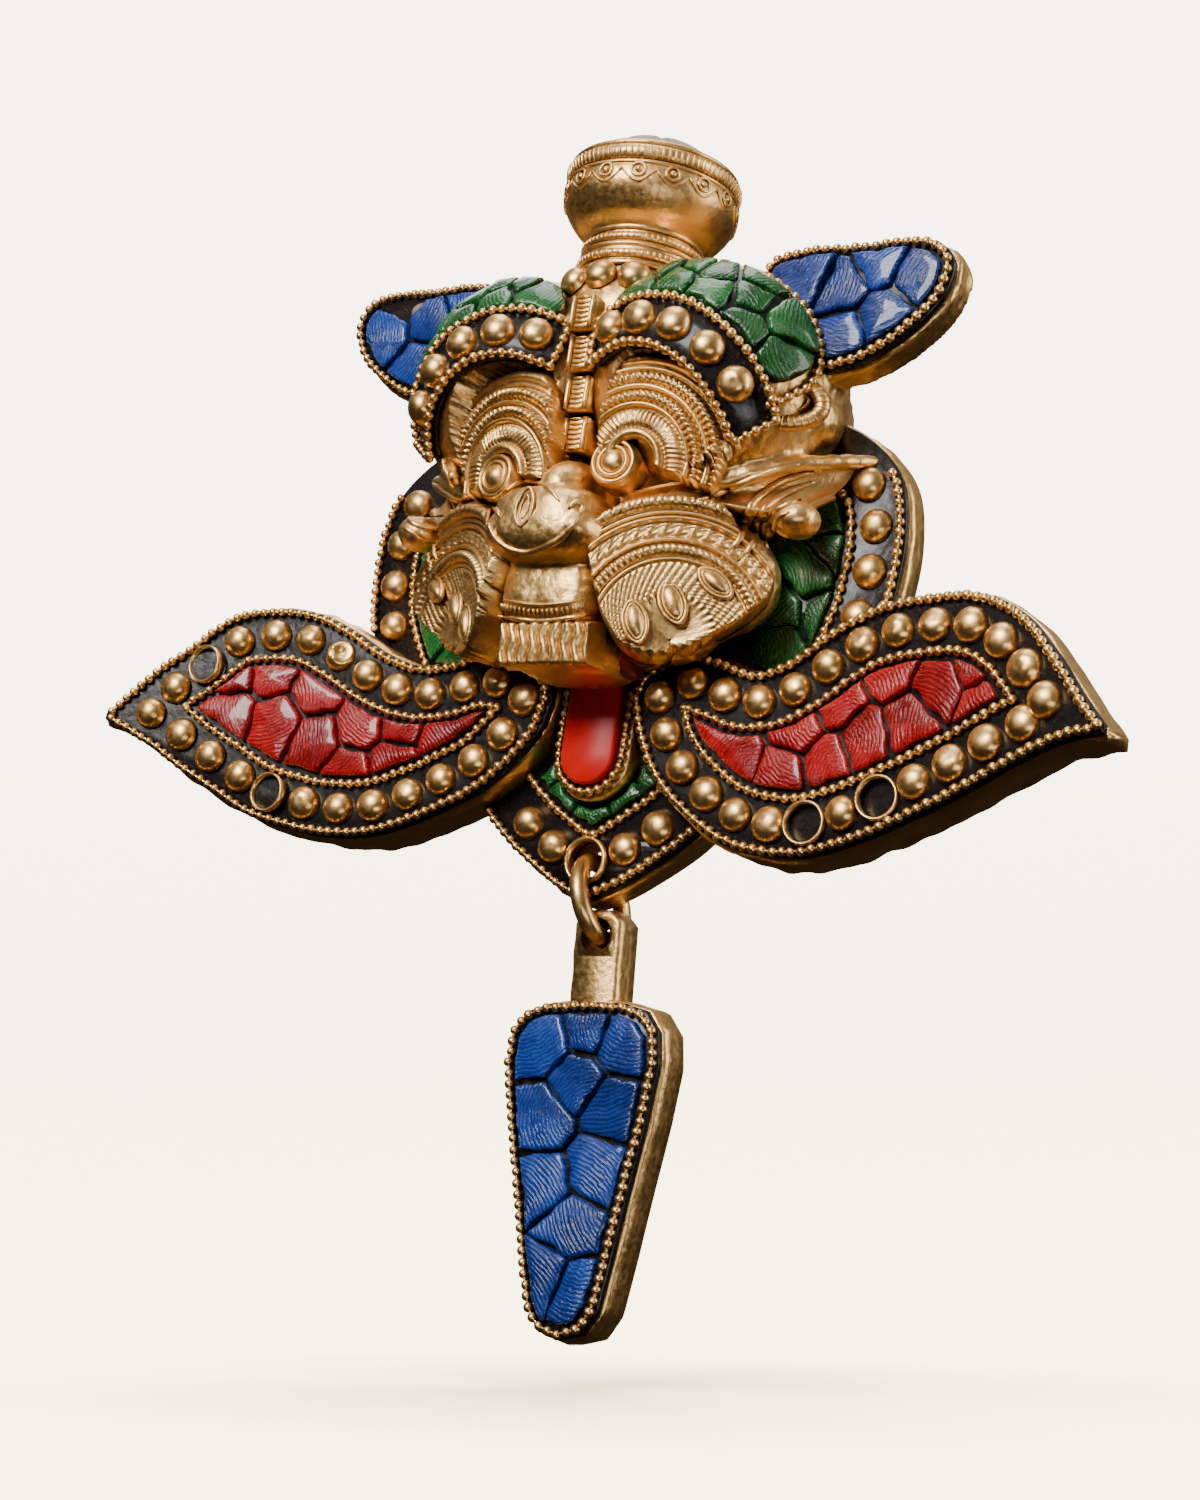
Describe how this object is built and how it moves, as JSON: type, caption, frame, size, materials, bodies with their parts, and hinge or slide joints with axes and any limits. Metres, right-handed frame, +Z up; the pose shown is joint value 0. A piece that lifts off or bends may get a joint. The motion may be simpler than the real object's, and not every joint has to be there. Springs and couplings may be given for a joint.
{
  "type": "kirtimukha wall hanging",
  "caption": "Cast brass mask with two spread leaves and a ringed pendant, set with stone chips in black lac, rows of half-round beads and bead chains, for hanging on a wall.",
  "frame": {"origin": "on the flat rim at the back of the head that lies against the wall, at mid width, below the hollow", "axes": "+Z up as it hangs; the face looks along -Y; +X to the viewer's right in the front view; +Y out of the back, into the wall"},
  "size_m": [0.236, 0.0558, 0.2478],
  "materials": {
    "cast_brass": "satin cast, darker in the recesses",
    "brass_trim": "satin",
    "black_lac": "glossy",
    "blue_chips": "glossy, with growth lines",
    "green_chips": "glossy, with growth lines",
    "red_chips": "glossy, with growth lines",
    "red_tongue": "glossy"
  },
  "bodies": {
    "root": {"mask_casting": "cast_brass", "lac_leaf_right": "black_lac", "chain_leaf_right_outer": "brass_trim", "chain_leaf_right_inner": "brass_trim", "beads_leaf_right": "brass_trim", "chips_leaf_right": "red_chips", "lac_collar_right": "black_lac", "chain_collar_right_outer": "brass_trim", "chain_collar_right_inner": "brass_trim", "beads_collar_right": "brass_trim", "chips_collar_right": "green_chips", "lac_brow_right": "black_lac", "chain_brow_right": "brass_trim", "beads_brow_right": "brass_trim", "chips_cap_right": "green_chips", "chain_cap_right": "brass_trim", "lac_ear_right": "black_lac", "chain_ear_right": "brass_trim", "chips_ear_right": "blue_chips", "lac_leaf_left": "black_lac", "chain_leaf_left_outer": "brass_trim", "chain_leaf_left_inner": "brass_trim", "beads_leaf_left": "brass_trim", "chips_leaf_left": "red_chips", "lac_collar_left": "black_lac", "chain_collar_left_outer": "brass_trim", "chain_collar_left_inner": "brass_trim", "beads_collar_left": "brass_trim", "chips_collar_left": "green_chips", "lac_brow_left": "black_lac", "chain_brow_left": "brass_trim", "beads_brow_left": "brass_trim", "chips_cap_left": "green_chips", "chain_cap_left": "brass_trim", "lac_ear_left": "black_lac", "chain_ear_left": "brass_trim", "chips_ear_left": "blue_chips", "lac_petal": "black_lac", "chain_petal_outer": "brass_trim", "chain_petal_inner": "brass_trim", "beads_petal": "brass_trim", "chips_petal": "green_chips", "tongue": "red_tongue", "chain_tongue": "brass_trim", "beads_crown": "brass_trim", "ring": "brass_trim", "pendant_casting": "cast_brass", "lac_pendant": "black_lac", "chain_pendant": "brass_trim", "chips_pendant": "blue_chips"}
  },
  "joints": []
}
